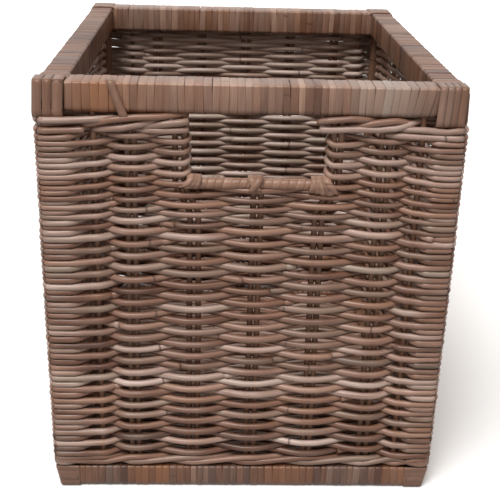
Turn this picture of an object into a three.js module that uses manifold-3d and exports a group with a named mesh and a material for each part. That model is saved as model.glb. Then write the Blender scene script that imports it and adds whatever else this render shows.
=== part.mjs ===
// Rattan storage basket with a hand hole in its front wall.
// Four wrapped rails close the mouth and four more carry the base. Posts stand in the corners, upright
// stakes run from rail to rail, and the walls and the base are woven of round rattan strands.
// Millimetres, +Z up. The origin is on the ground under the middle, and the hand hole faces -Y.

import * as THREE from 'three';
import { mergeVertices } from 'three/addons/utils/BufferGeometryUtils.js';
import Module from 'manifold-3d';

const wasm = await Module();
wasm.setup();

// Outer size
const basketWidth = 320;
const basketDepth = 390;
const basketHeight = 350;

// Rails, each a wooden core under a winding of flat peel
const topRailWidth = 27;
const sideTopRailWidth = 22;
const topRailHeight = 24;
const topCornerCut = 3;
const bottomRailWidth = 22;
const bottomRailHeight = 19;
const bottomCornerCut = 8;
const bottomFootCutWidth = 4.5;
const bottomFootCutHeight = 11;
const railEdgeCut = 2.5;
const peelThickness = 1.5;

// Woven rows, thick strands below and thin ones above, between two bands of twisted strands
const bandHeight = 11;
const thickRowsHeight = 208;
const thickRowPitch = 5.2;
const thinRowPitch = 4.3;
const grooveCover = 0.5;

// Rattan rods and strands
const strandDiameter = 4.8;
const rodDiameter = 5.2;
const rodBite = 0.2;
const postDiameter = 13;
const rodSides = 8;
const postSides = 16;

// Places of the stakes along a wall
const cornerToSingle = 35.5;
const singleToPair = 27.5;
const pairsAcross = 5;
const pairsDeep = 6;
const frontStakeShift = 5;
const backStakeShift = -5;

// Joints between the pieces
const fitGap = 0.3;
const stakeSocketDepth = 8;
const postSocketDepth = 10;
const ribSocketDepth = 8;
const overrun = 1;

// Hand hole and the bar at its foot
const holeWidth = 101;
const holeHeight = 47;
const holeEdgeCover = 4.3;
const stakeBendHeight = 22;
const barDiameter = 5.4;
const barSides = 12;
const stripThickness = 1.3;
const stripWidth = 5.6;
const stripTurns = 15;
const stripStepsPerTurn = 12;

// Base
const baseLift = 3;
const baseRibSpacing = 80;

// Sizes that follow from the ones above
const wallThickness = rodDiameter + 2 * strandDiameter;
const wallMiddle = wallThickness / 2;
const postInset = postDiameter / 2 + strandDiameter + fitGap;
const weaveLow = bottomRailHeight;
const weaveHigh = basketHeight - topRailHeight;
const grooveDepth = strandDiameter - fitGap - grooveCover;
const stakeLow = weaveLow - stakeSocketDepth + fitGap;
const stakeHigh = weaveHigh + stakeSocketDepth - fitGap;
const pairHalfWidth = rodDiameter - rodBite / 2;
const barRadius = barDiameter / 2;
const barOuterRadius = barRadius + fitGap + stripThickness;
const barCentreHeight = weaveHigh - holeHeight - barOuterRadius;
const holeFoot = barCentreHeight - barOuterRadius - fitGap;

// Finishes
const peelFinish = { color: 0x8f7561, roughness: 0.55, metalness: 0 };
const strandFinish = { color: 0x8a6c58, roughness: 0.6, metalness: 0 };
const rodFinish = { color: 0x6f5240, roughness: 0.65, metalness: 0 };
const coreFinish = { color: 0xa88a66, roughness: 0.75, metalness: 0 };

// A closed geometry as a solid that can be cut and joined
function solidFrom(geometry) {
  geometry.deleteAttribute('normal');
  geometry.deleteAttribute('uv');
  const merged = mergeVertices(geometry);
  const vertProperties = new Float32Array(merged.attributes.position.array);
  const triVerts = new Uint32Array(merged.index.array);
  return new wasm.Manifold(new wasm.Mesh({ numProp: 3, vertProperties, triVerts }));
}

// The cut solid as a geometry with flat faces
function geometryFrom(solid) {
  const cut = solid.getMesh();
  const geometry = new THREE.BufferGeometry();
  geometry.setAttribute('position', new THREE.BufferAttribute(cut.vertProperties, 3));
  geometry.setIndex(new THREE.BufferAttribute(cut.triVerts, 1));
  const flat = geometry.toNonIndexed();
  flat.computeVertexNormals();
  return flat;
}

function outlineOf(points) {
  return new THREE.Shape(points.map(([x, y]) => new THREE.Vector2(x, y)));
}

// An outline seen from above, raised from one height to another
function prism(points, zLow, zHigh) {
  const geometry = new THREE.ExtrudeGeometry(outlineOf(points), { depth: zHigh - zLow, bevelEnabled: false });
  return solidFrom(geometry.translate(0, 0, zLow));
}

// A cross-section given as depth and height, carried along X and centred on it
function beam(section, length) {
  const geometry = new THREE.ExtrudeGeometry(outlineOf(section), { depth: length, bevelEnabled: false });
  geometry.translate(0, 0, -length / 2);
  const sectionToWall = new THREE.Matrix4().makeBasis(
    new THREE.Vector3(0, 1, 0),
    new THREE.Vector3(0, 0, 1),
    new THREE.Vector3(1, 0, 0),
  );
  return solidFrom(geometry.applyMatrix4(sectionToWall));
}

function block(low, high) {
  const size = high.map((value, axis) => value - low[axis]);
  const middle = high.map((value, axis) => (value + low[axis]) / 2);
  return solidFrom(new THREE.BoxGeometry(...size).translate(...middle));
}

// A round bar along one axis, 'x', 'y' or 'z', centred on a point
function roundBar(radius, sides, length, axis, centre) {
  const geometry = new THREE.CylinderGeometry(radius, radius, length, sides);
  if (axis === 'x') geometry.rotateZ(Math.PI / 2);
  if (axis === 'z') geometry.rotateX(Math.PI / 2);
  return solidFrom(geometry.translate(...centre));
}

// A closed skin over rings of equally many points, each ring given as [x, y, z] points. A four-sided patch
// is folded along the diagonal whose two ends lie lower, by a rule that gives a point's height.
function skinOver(rings, heightOf = () => 0) {
  const count = rings[0].length;
  const heights = rings.flat().map(heightOf);
  const faces = [];
  for (let ring = 0; ring + 1 < rings.length; ring++) {
    for (let side = 0; side < count; side++) {
      const a = ring * count + side;
      const b = ring * count + (side + 1) % count;
      const c = b + count;
      const d = a + count;
      if (heights[b] + heights[d] < heights[a] + heights[c]) faces.push(a, b, d, b, c, d);
      else faces.push(a, b, c, a, c, d);
    }
  }
  const last = (rings.length - 1) * count;
  for (let near = 0, far = count - 1; near + 1 < far; near++, far--) {
    faces.push(near, far, near + 1, last + near, last + near + 1, last + far);
    if (near + 1 === far - 1) break;
    faces.push(near + 1, far, far - 1, last + near + 1, last + far - 1, last + far);
  }
  const geometry = new THREE.BufferGeometry();
  geometry.setAttribute('position', new THREE.Float32BufferAttribute(rings.flat(2), 3));
  geometry.setIndex(faces);
  return solidFrom(geometry);
}

// One upright rod whose middle line passes through [x, z] stations at one depth in the wall
function uprightRod(radius, stations) {
  const rings = stations.map(([x, z]) => {
    const ring = [];
    for (let side = 0; side < rodSides; side++) {
      const angle = (side / rodSides) * 2 * Math.PI;
      ring.push([x + radius * Math.cos(angle), wallMiddle + radius * Math.sin(angle), z]);
    }
    return ring;
  });
  return skinOver(rings);
}

// A stake is a single rod, or two rods side by side that bite a little into each other
function stakeSolid(stake, growth, zLow, zHigh) {
  const radius = rodDiameter / 2 + growth;
  const offsets = stake.paired ? [-(rodDiameter - rodBite) / 2, (rodDiameter - rodBite) / 2] : [0];
  const bendTop = holeFoot;
  const rods = offsets.map((offset) => {
    const x = stake.x + offset;
    const stations = [[x, zLow]];
    if (stake.lean !== 0) {
      stations.push([x, bendTop - stakeBendHeight], [x + stake.lean, bendTop]);
    }
    stations.push([x + stake.lean, zHigh]);
    return uprightRod(radius, stations);
  });
  return rods.reduce((joined, rod) => joined.add(rod));
}

// The stakes of a wall from its left end to its right, seen from outside
function stakesOf(wall) {
  const firstPair = cornerToSingle + singleToPair - wall.length / 2;
  const spacing = (-2 * firstPair) / (wall.pairs - 1);
  const edgeOffset = holeWidth / 2 + holeEdgeCover + pairHalfWidth;
  const single = wall.length / 2 - cornerToSingle;
  const straight = { lean: 0, zHigh: stakeHigh };
  const stakes = [{ name: 'single_left', x: wall.shift - single, paired: false, ...straight }];
  for (let pair = 0; pair < wall.pairs; pair++) {
    const offset = firstPair + pair * spacing;
    const stake = { name: `pair_${pair + 1}`, x: wall.shift + offset, paired: true, ...straight };
    const fromMiddle = pair - (wall.pairs - 1) / 2;
    if (wall.hasHole && fromMiddle === 0) stake.zHigh = holeFoot;
    if (wall.hasHole && Math.abs(fromMiddle) === 1) stake.lean = Math.sign(offset) * edgeOffset - offset;
    stakes.push(stake);
  }
  stakes.push({ name: 'single_right', x: wall.shift + single, paired: false, ...straight });
  return stakes;
}

// Cross-section of a rail, drawn in by an inset, with its long edges cut off. The outer edge at the foot
// has a cut of its own, and a cut's two ends move as its slanted line is drawn in with the rest.
function railSection(rail, inset) {
  const { width, zLow, zHigh, footCut } = rail;
  const cut = railEdgeCut - inset * (1 - Math.SQRT2);
  const [footWidth, footHeight] = footCut;
  const slant = Math.hypot(footWidth, footHeight);
  const footIn = footWidth + (inset * (slant - footWidth)) / footHeight;
  const footUp = footHeight + (inset * (slant - footHeight)) / footWidth;
  const near = inset;
  const far = width - inset;
  const foot = zLow + inset;
  const head = zHigh - inset;
  return [
    [footIn, foot], [width - cut, foot], [far, zLow + cut], [far, zHigh - cut],
    [width - cut, head], [cut, head], [near, zHigh - cut], [near, zLow + footUp],
  ];
}

// Outline from above of a mitred rail with its outer corners cut off, drawn in by an inset
function railPlan(length, width, cornerCut, inset, endGap) {
  const half = length / 2;
  const cut = cornerCut + inset * Math.SQRT2;
  const outer = half - cut - overrun;
  const cornerX = half - (cut + endGap) / 2;
  const cornerY = (cut - endGap) / 2;
  const innerY = width + overrun;
  const innerX = half - endGap - innerY;
  return [
    [-outer, -overrun], [outer, -overrun], [cornerX, cornerY], [innerX, innerY],
    [-innerX, innerY], [-cornerX, cornerY],
  ];
}

// A rail of one wall: the core, and the winding of peel round it as a sleeve with a mouth for the stakes
function buildRail(wall, rail) {
  const { width, zLow, zHigh, cornerCut, mouthUp } = rail;
  const mitreGap = fitGap / Math.SQRT2;
  const plan = (inset, endGap) =>
    prism(railPlan(wall.length, width, cornerCut, inset, endGap), zLow - overrun, zHigh + overrun);
  const bar = (inset) => beam(railSection(rail, inset), wall.length);
  const mouthSpan = (depth) => (mouthUp ? [zHigh - depth, zHigh + overrun] : [zLow - overrun, zLow + depth]);

  const half = wall.length / 2;
  const [grooveLow, grooveHigh] = mouthSpan(stakeSocketDepth);
  const grooveReach = rodDiameter / 2 + fitGap;
  const cutters = [
    block([-half, wallMiddle - grooveReach, grooveLow], [half, wallMiddle + grooveReach, grooveHigh]),
  ];
  const [socketLow, socketHigh] = mouthSpan(postSocketDepth);
  for (const side of [-1, 1]) {
    const centre = [side * (half - postInset), postInset, (socketLow + socketHigh) / 2];
    cutters.push(roundBar(postDiameter / 2 + fitGap, postSides, socketHigh - socketLow, 'z', centre));
  }
  for (const x of rail.ribPlaces) {
    const length = ribSocketDepth + overrun;
    const centre = [x, width + overrun - length / 2, baseLift + wallMiddle];
    cutters.push(roundBar(rodDiameter / 2 + fitGap, rodSides, length, 'y', centre));
  }

  const cutAll = (solid) => cutters.reduce((left, cutter) => left.subtract(cutter), solid);
  const core = bar(peelThickness + fitGap).intersect(plan(peelThickness + fitGap, mitreGap));
  const hollow = bar(peelThickness).intersect(plan(peelThickness, -overrun));
  const sleeve = bar(0).intersect(plan(0, mitreGap)).subtract(hollow);
  return { core: cutAll(core), sleeve: cutAll(sleeve) };
}

// A stake's place along its wall at a height
function stakeXAt(stake, z) {
  const share = THREE.MathUtils.clamp((z - holeFoot) / stakeBendHeight + 1, 0, 1);
  return stake.x + stake.lean * share;
}

// Heights of the rows of strands, thick ones below and thin ones above
function rowHeights() {
  const rowsLow = weaveLow + bandHeight;
  const thinLow = rowsLow + thickRowsHeight;
  const heights = [];
  for (const [low, high, pitch] of [
    [rowsLow, thinLow, thickRowPitch], [thinLow, weaveHigh - bandHeight, thinRowPitch],
  ]) {
    const count = Math.round((high - low) / pitch);
    for (let row = 0; row < count; row++) heights.push(low + ((row + 0.5) / count) * (high - low));
  }
  return heights;
}

// Outline from above of the straight part of a woven wall at one height. A row's strand passes outside one
// stake and inside the next: where it passes outside, the inner face is sunk to a groove, and where it
// passes inside, the outer face is.
function weaveOutline(wall, stakes, endX, z, row) {
  const groove = (index, parity) => {
    const sunk = row !== null && (wall.firstStake + index + row) % 2 === parity;
    return sunk ? grooveDepth : 0;
  };
  const outer = stakes.map((stake, index) => [stakeXAt(stake, z), groove(index, 1), z]);
  const inner = stakes.map((stake, index) => [stakeXAt(stake, z), wallThickness - groove(index, 0), z]);
  return [
    [-endX, 0, z], ...outer, [endX, 0, z],
    [endX, wallThickness, z], ...inner.reverse(), [-endX, wallThickness, z],
  ];
}

// Outline from above of the end of a woven wall, rounded where the strands turn the corner and mitred
function cornerOutline(wall, endX, side, z) {
  const centreX = wall.length / 2 - postInset;
  const mitrePull = fitGap / Math.SQRT2 / 2;
  const arcSteps = 4;
  const outline = [[endX, wallThickness, z], [endX, 0, z]];
  for (let step = 0; step <= arcSteps; step++) {
    const angle = (step / arcSteps) * (Math.PI / 4);
    const pullBack = step === arcSteps ? mitrePull : 0;
    const x = centreX + postInset * Math.sin(angle) - pullBack;
    outline.push([x, postInset - postInset * Math.cos(angle) - pullBack, z]);
  }
  return side > 0 ? outline : outline.map(([x, y]) => [-x, y, z]).reverse();
}

// The woven wall with its channels for stakes and posts, and the hand hole where it has one
function buildWeave(wall, stakes) {
  const low = weaveLow + fitGap;
  const high = weaveHigh - fitGap;
  const endX = wall.length / 2 - fitGap / Math.SQRT2 - wallThickness;
  const levels = [
    [low, null], [weaveLow + bandHeight, null],
    ...rowHeights().map((z, row) => [z, row]),
    [weaveHigh - bandHeight, null], [high, null],
  ];
  const outlines = levels.map(([z, row]) => weaveOutline(wall, stakes, endX, z, row));
  let panel = skinOver(outlines, ([, depth]) => Math.abs(depth - wallMiddle));
  for (const side of [-1, 1]) {
    panel = panel.add(skinOver([low, high].map((z) => cornerOutline(wall, endX, side, z))));
  }
  for (const side of [-1, 1]) {
    const centre = [side * (wall.length / 2 - postInset), postInset, (low + high) / 2];
    const channel = roundBar(postDiameter / 2 + fitGap, postSides, high - low + 2 * overrun, 'z', centre);
    panel = panel.subtract(channel);
  }
  for (const stake of stakes) {
    panel = panel.subtract(stakeSolid(stake, fitGap, low - overrun, high + overrun));
  }
  if (wall.hasHole) {
    const half = holeWidth / 2;
    const notch = block(
      [wall.shift - half, -overrun, holeFoot],
      [wall.shift + half, wallThickness + overrun, high + overrun],
    );
    const passage = roundBar(barRadius + fitGap, barSides, 2 * (half + holeEdgeCover), 'x',
      [wall.shift, wallMiddle, barCentreHeight]);
    panel = panel.subtract(notch).subtract(passage);
  }
  return panel;
}

// The flat strip wound round the bar: a four-sided section carried along a helix, in one unbroken length
function buildBarWinding(shift) {
  const span = holeWidth - 2 * fitGap - stripWidth;
  const pitch = span / stripTurns;
  const inner = barRadius + fitGap;
  const outer = inner + stripThickness;
  const steps = stripTurns * stripStepsPerTurn;
  const rings = [];
  for (let step = 0; step <= steps; step++) {
    const angle = (step / stripStepsPerTurn) * 2 * Math.PI;
    const x = shift - span / 2 + (step / stripStepsPerTurn) * pitch;
    const corners = [
      [x - stripWidth / 2, outer], [x + stripWidth / 2, outer],
      [x + stripWidth / 2, inner], [x - stripWidth / 2, inner],
    ];
    rings.push(corners.map(([along, radius]) => [
      along, wallMiddle + radius * Math.sin(angle), barCentreHeight + radius * Math.cos(angle),
    ]));
  }
  let leastGap = Infinity;
  for (let step = 0; step + stripStepsPerTurn <= steps; step++) {
    for (const near of rings[step]) {
      for (const far of rings[step + stripStepsPerTurn]) {
        leastGap = Math.min(leastGap, Math.hypot(near[0] - far[0], near[1] - far[1], near[2] - far[2]));
      }
    }
  }
  console.log(`bar winding, least gap between turns: ${leastGap.toFixed(2)} mm`);
  return skinOver(rings);
}

// One named piece of the basket with its own material
function piece(name, solid, finish) {
  const mesh = new THREE.Mesh(geometryFrom(solid), new THREE.MeshStandardMaterial(finish));
  mesh.name = name;
  return mesh;
}

const ribPlaces = [-baseRibSpacing, 0, baseRibSpacing];
const walls = [
  { name: 'front', length: basketWidth, reach: basketDepth / 2, pairs: pairsAcross, turn: 0 },
  { name: 'right', length: basketDepth, reach: basketWidth / 2, pairs: pairsDeep, turn: Math.PI / 2 },
  { name: 'back', length: basketWidth, reach: basketDepth / 2, pairs: pairsAcross, turn: Math.PI },
  { name: 'left', length: basketDepth, reach: basketWidth / 2, pairs: pairsDeep, turn: -Math.PI / 2 },
];

const basket = new THREE.Group();

// Each wall is made lying along X with its outer face at depth 0, then turned to its own side. The stakes
// are counted round the basket, because every strand passes outside one and inside the next all the way.
let stakesBefore = 0;
for (const wall of walls) {
  wall.hasHole = wall.name === 'front';
  wall.shift = { front: frontStakeShift, back: backStakeShift }[wall.name] ?? 0;
  const side = new THREE.Group();
  side.rotation.z = wall.turn;
  side.position.set(wall.reach * Math.sin(wall.turn), -wall.reach * Math.cos(wall.turn), 0);

  const topRail = buildRail(wall, {
    width: wall.length === basketWidth ? topRailWidth : sideTopRailWidth,
    zLow: weaveHigh,
    zHigh: basketHeight,
    cornerCut: topCornerCut,
    footCut: [railEdgeCut, railEdgeCut],
    mouthUp: false,
    ribPlaces: [],
  });
  const bottomRail = buildRail(wall, {
    width: bottomRailWidth,
    zLow: 0,
    zHigh: weaveLow,
    cornerCut: bottomCornerCut,
    footCut: [bottomFootCutWidth, bottomFootCutHeight],
    mouthUp: true,
    ribPlaces: wall.length === basketWidth ? ribPlaces : [],
  });
  side.add(piece(`top_rail_core_${wall.name}`, topRail.core, coreFinish));
  side.add(piece(`top_rail_wrap_${wall.name}`, topRail.sleeve, peelFinish));
  side.add(piece(`bottom_rail_core_${wall.name}`, bottomRail.core, coreFinish));
  side.add(piece(`bottom_rail_wrap_${wall.name}`, bottomRail.sleeve, peelFinish));

  const stakes = stakesOf(wall);
  wall.firstStake = stakesBefore;
  stakesBefore += stakes.length;
  for (const stake of stakes) {
    const rods = stakeSolid(stake, 0, stakeLow, stake.zHigh);
    side.add(piece(`stake_${wall.name}_${stake.name}`, rods, rodFinish));
  }
  side.add(piece(`weave_${wall.name}`, buildWeave(wall, stakes), strandFinish));

  if (wall.hasHole) {
    const barLength = holeWidth + 2 * (holeEdgeCover - fitGap);
    const bar = roundBar(barRadius, barSides, barLength, 'x', [wall.shift, wallMiddle, barCentreHeight]);
    side.add(piece('handle_bar', bar, rodFinish));
    side.add(piece('handle_bar_wrap', buildBarWinding(wall.shift), peelFinish));
  }
  basket.add(side);
}

// Corner posts, standing in sockets where two rails meet
const postLow = weaveLow - postSocketDepth + fitGap;
const postHigh = weaveHigh + postSocketDepth - fitGap;
for (const [depthName, ySide] of [['front', -1], ['back', 1]]) {
  for (const [widthName, xSide] of [['left', -1], ['right', 1]]) {
    const centre = [
      xSide * (basketWidth / 2 - postInset),
      ySide * (basketDepth / 2 - postInset),
      (postLow + postHigh) / 2,
    ];
    const post = roundBar(postDiameter / 2, postSides, postHigh - postLow, 'z', centre);
    basket.add(piece(`corner_post_${depthName}_${widthName}`, post, rodFinish));
  }
}

// Woven base between the bottom rails, carried by ribs whose ends sit in the front and back rails
const baseHalfWidth = basketWidth / 2 - bottomRailWidth - fitGap;
const baseHalfDepth = basketDepth / 2 - bottomRailWidth - fitGap;
const ribLength = basketDepth - 2 * bottomRailWidth + 2 * (ribSocketDepth - fitGap);
const baseTop = baseLift + wallThickness;
let base = block([-baseHalfWidth, -baseHalfDepth, baseLift], [baseHalfWidth, baseHalfDepth, baseTop]);
const ribNames = ['left', 'middle', 'right'];
ribPlaces.forEach((x, index) => {
  const centre = [x, 0, baseLift + wallMiddle];
  base = base.subtract(roundBar(rodDiameter / 2 + fitGap, rodSides, ribLength, 'y', centre));
  const rib = roundBar(rodDiameter / 2, rodSides, ribLength, 'y', centre);
  basket.add(piece(`base_rib_${ribNames[index]}`, rib, rodFinish));
});
basket.add(piece('weave_base', base, strandFinish));

export default basket;
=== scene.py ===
# A rectangular rattan storage basket with a hand hole in its front wall: rails wound with flat peel,
# corner posts, upright stakes, and walls and base woven of round strands.
# Sizes are in millimetres and go into the meshes in metres, in the frame of the CAD model.

import bpy
import numpy as np
from mathutils import Matrix, Vector


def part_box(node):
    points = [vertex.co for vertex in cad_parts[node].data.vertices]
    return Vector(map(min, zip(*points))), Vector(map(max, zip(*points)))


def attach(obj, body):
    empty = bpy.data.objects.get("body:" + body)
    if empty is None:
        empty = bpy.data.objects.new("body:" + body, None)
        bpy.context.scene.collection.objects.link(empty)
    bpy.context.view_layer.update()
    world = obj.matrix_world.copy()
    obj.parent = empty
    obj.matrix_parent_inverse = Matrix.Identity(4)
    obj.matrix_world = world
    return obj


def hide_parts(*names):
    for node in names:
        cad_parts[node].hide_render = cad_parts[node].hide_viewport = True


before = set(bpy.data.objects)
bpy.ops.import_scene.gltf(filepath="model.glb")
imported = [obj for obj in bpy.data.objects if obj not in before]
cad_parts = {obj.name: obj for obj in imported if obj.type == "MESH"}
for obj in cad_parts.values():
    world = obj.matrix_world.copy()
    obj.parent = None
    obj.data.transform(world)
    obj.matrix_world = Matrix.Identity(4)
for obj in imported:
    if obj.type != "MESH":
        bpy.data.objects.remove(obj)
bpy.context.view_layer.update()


# ---- Camera
# It stands close to the front wall, a little left of the middle, and looks down into the mouth.
# Its place and lens come from the basket's own corners, whose sizes are known.
def placed(name, data):
    """A new object in the scene."""
    thing = bpy.data.objects.new(name, data)
    bpy.context.collection.objects.link(thing)
    return thing


lens_data = bpy.data.cameras.new("camera")
lens_data.sensor_width = 36
lens_data.lens = 71.995
lens_data.clip_start = 0.01
camera = placed("camera", lens_data)
camera.matrix_world = Matrix((
    (0.9992, -0.0137, -0.0376, -0.028977),
    (-0.0298, 0.3736, -0.9271, -0.920960),
    (0.0268, 0.9275, 0.3729, 0.511838),
    (0, 0, 0, 1),
))
bpy.context.scene.camera = camera
bpy.context.scene.view_settings.view_transform = "Standard"


# ---- Floor and light
# A pale floor that keeps the basket's shadow, a white surround, and one soft sun from above and in front.
# Rays of light meet a duller sky and floor than the camera sees, so that only the ground comes out white.
def wire(tree, kind, feeds=(), **settings):
    """One shader node with its settings. A feed is a socket's name or number, with a value or an output."""
    node = tree.nodes.new(kind)
    for key, value in settings.items():
        setattr(node, key, value)
    for key, value in dict(feeds).items():
        if isinstance(value, bpy.types.NodeSocket):
            tree.links.new(value, node.inputs[key])
        else:
            node.inputs[key].default_value = value
    return node


def new_finish(name):
    """A material, its node tree and its shader's inputs."""
    finish = bpy.data.materials.new(name)
    finish.use_nodes = True
    return finish, finish.node_tree, finish.node_tree.nodes["Principled BSDF"].inputs


def reckon(tree, operation, *values, clamp=False):
    """The output of a Math node on up to three values or outputs."""
    return wire(tree, "ShaderNodeMath", enumerate(values), operation=operation, use_clamp=clamp).outputs[0]


def mixed(tree, share, first, second):
    """One colour drawn to another: the first by what the share leaves of 1, plus the second by the share."""
    feeds = {"Factor": share, "A": first, "B": second}
    return wire(tree, "ShaderNodeMix", feeds, data_type="RGBA").outputs["Result"]


def carried(tree, value, low, high, to_low, to_high):
    """A value carried evenly from one range to another, and held at its ends."""
    feeds = {"Value": value, "From Min": low, "From Max": high, "To Min": to_low, "To Max": to_high}
    return wire(tree, "ShaderNodeMapRange", feeds).outputs[0]


def seen_directly(tree):
    """1 for rays of the camera, of gloss and of glass, and 0 for rays that carry light."""
    ray = wire(tree, "ShaderNodeLightPath").outputs
    gloss = reckon(tree, "MAXIMUM", ray["Is Glossy Ray"], ray["Is Transmission Ray"])
    return reckon(tree, "MAXIMUM", ray["Is Camera Ray"], gloss)


white = (1, 1, 1, 1)
sky_light, sky_tint = 0.36, (1.0, 0.88, 0.78, 1)
world = bpy.data.worlds.new("surround")
world.use_nodes = True
bpy.context.scene.world = world
sky = world.node_tree
background = sky.nodes["Background"].inputs
seen = seen_directly(sky)
sky.links.new(carried(sky, seen, 0.0, 1.0, sky_light, 1.0), background["Strength"])
sky.links.new(mixed(sky, seen, sky_tint, white), background["Color"])

floor_reach, floor_drop = 8.0, 0.001
corners = [(x * floor_reach, y * floor_reach, -floor_drop) for x, y in ((-1, -1), (1, -1), (1, 1), (-1, 1))]
floor_mesh = bpy.data.meshes.new("floor")
floor_mesh.from_pydata(corners, [], [(0, 1, 2, 3)])
floor = placed("floor", floor_mesh)
floor_finish, paint, coat = new_finish("floor_paint")
seen = seen_directly(paint)
grey_in_light, grey_seen = (0.30, 0.30, 0.30, 1), (0.95, 0.95, 0.95, 1)
paint.links.new(mixed(paint, seen, grey_in_light, grey_seen), coat["Base Color"])
coat["Roughness"].default_value = 0.9
near, far, near_glow, far_glow = 0.5, 2.0, 0.06, 0.5
spot = wire(paint, "ShaderNodeTexCoord").outputs["Object"]
distance = wire(paint, "ShaderNodeVectorMath", {0: spot}, operation="LENGTH").outputs["Value"]
strength = reckon(paint, "MULTIPLY", seen, carried(paint, distance, near, far, near_glow, far_glow))
glow = wire(paint, "ShaderNodeEmission", {"Color": white, "Strength": strength})
both = wire(paint, "ShaderNodeAddShader", {0: paint.nodes["Principled BSDF"].outputs[0], 1: glow.outputs[0]})
paint.links.new(both.outputs[0], paint.nodes["Material Output"].inputs["Surface"])
floor_mesh.materials.append(floor_finish)

sun_direction, sun_spread, sun_strength = Vector((0.22, 0.50, -1.0)), 30, 3.0
sun = bpy.data.lights.new("light_above", "SUN")
sun.angle = np.radians(sun_spread)
sun.energy = sun_strength
placed("light_above", sun).rotation_euler = sun_direction.to_track_quat("-Z", "Y").to_euler()


# ---- Rail cores
# Bars of plain wood inside the windings of all eight rails. They show only as dark lines between the
# turns, so the CAD nodes stay and get a mottled, finely dented wood whose dark brown is partly painted
# shade for those gaps.
def straight_colour(red_green_blue):
    """A colour as a picture shows it, 0 to 255, as the linear values that a shader takes."""
    level = np.array(red_green_blue) / 255
    return (*np.where(level <= 0.04045, level / 12.92, ((level + 0.055) / 1.055) ** 2.4), 1.0)


def colour_steps(tree, value, steps):
    """A ramp over a value, from pairs of a place and a picture colour."""
    ramp = wire(tree, "ShaderNodeValToRGB", {"Fac": value})
    while len(ramp.color_ramp.elements) < len(steps):
        ramp.color_ramp.elements.new(0.5)
    for element, (place, colour) in zip(ramp.color_ramp.elements, steps):
        element.position = place
        element.color = straight_colour(colour)
    return ramp.outputs["Color"]


def dented(tree, height, strength, deepest):
    """A surface direction bent by a height that is up to so many metres deep."""
    feeds = {"Strength": strength, "Distance": deepest, "Height": height}
    return wire(tree, "ShaderNodeBump", feeds).outputs[0]


core_wood_gap_shade, tree, bark = new_finish("rail_core_wood")
spot = wire(tree, "ShaderNodeTexCoord").outputs["Object"]
mottle_feeds = {"Vector": spot, "Scale": 90.0, "Detail": 4.0, "Roughness": 0.6}
mottle = wire(tree, "ShaderNodeTexNoise", mottle_feeds).outputs["Fac"]
# Dark browns, partly painted shade for the gaps between the turns.
wood = colour_steps(tree, mottle, [(0.30, (58, 38, 27)), (0.55, (88, 62, 46)), (0.75, (112, 84, 64))])
tree.links.new(wood, bark["Base Color"])
tree.links.new(dented(tree, mottle, 0.4, 0.0004), bark["Normal"])
bark["Roughness"].default_value = 0.8
for level in ("top", "bottom"):
    for wall_name in ("front", "right", "back", "left"):
        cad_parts[f"{level}_rail_core_{wall_name}"].material_slots[0].material = core_wood_gap_shade


# ---- Top rail winding
# Flat strips of glossy rattan skin wound tightly round each top rail, 47 to 57 turns to a rail, each turn
# lying upright on the outer face and stepping on to the next under the rail.
mm = 0.001
draw = np.random.default_rng(12)


def streaks(tree, grain, along, across, detail, roughness):
    """Noise stretched along the grain: so many waves to a metre along it and across it."""
    place = wire(tree, "ShaderNodeMapping", {"Vector": grain, "Scale": (along, across, across)}).outputs[0]
    feeds = {"Vector": place, "Scale": 1.0, "Detail": detail, "Roughness": roughness}
    return wire(tree, "ShaderNodeTexNoise", feeds).outputs["Fac"]


def rattan(name, steps, silver, orange, streak, gloss, ring_every, ring_colour):
    """A rattan finish: a ramp over the tone that each strip or strand carries, shifted by streaks along the
    grain and by slow patches, then drawn to silver or orange by its warmth, then darkened in rings at the
    plant's joints. The grain attribute holds the place along, and the two places across."""
    patch_share = 0.55
    ring_wobble, ring_core, ring_edge, ring_depth = 0.004, 0.0004, 0.0013, 0.75
    finish, tree, shader = new_finish(name)
    grain, tone, warmth = (
        wire(tree, "ShaderNodeAttribute", attribute_name=key).outputs[kind]
        for key, kind in (("grain", "Vector"), ("tone", "Fac"), ("warmth", "Fac")))
    fibre = streaks(tree, grain, 35.0, 1500.0, 3.0, 0.6)
    patch = streaks(tree, grain, 30.0, 160.0, 2.0, 0.5)
    streaked = reckon(tree, "MULTIPLY_ADD", fibre, streak, tone)
    patched = reckon(tree, "MULTIPLY_ADD", patch, patch_share, streaked)
    centred = reckon(tree, "SUBTRACT", patched, (streak + patch_share) / 2)
    colour = colour_steps(tree, centred, steps)
    for sign, pull in ((-1.0, silver), (1.0, orange)):
        share = reckon(tree, "MULTIPLY", warmth, sign, clamp=True)
        colour = mixed(tree, share, colour, straight_colour(pull))
    along = wire(tree, "ShaderNodeSeparateXYZ", {0: grain}).outputs[0]
    wobbling = reckon(tree, "MULTIPLY_ADD", patch, ring_wobble, along)
    from_ring = reckon(tree, "PINGPONG", wobbling, ring_every)
    ring = carried(tree, from_ring, ring_core, ring_edge, ring_depth, 0.0)
    tree.links.new(mixed(tree, ring, colour, straight_colour(ring_colour)), shader["Base Color"])
    tree.links.new(carried(tree, fibre, 0.0, 1.0, *gloss), shader["Roughness"])
    shader["Specular IOR Level"].default_value = 0.4
    tree.links.new(dented(tree, fibre, 0.5, 0.0003), shader["Normal"])
    return finish


finishes = {"rattan_peel": rattan(
    "rattan_peel_skin",
    [(0.0, (74, 46, 34)), (0.35, (118, 87, 71)), (0.65, (143, 110, 93)), (1.0, (176, 145, 126))],
    silver=(156, 138, 126), orange=(147, 99, 66), streak=0.7, gloss=(0.28, 0.46), ring_every=0.19,
    ring_colour=(84, 56, 42))}


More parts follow.
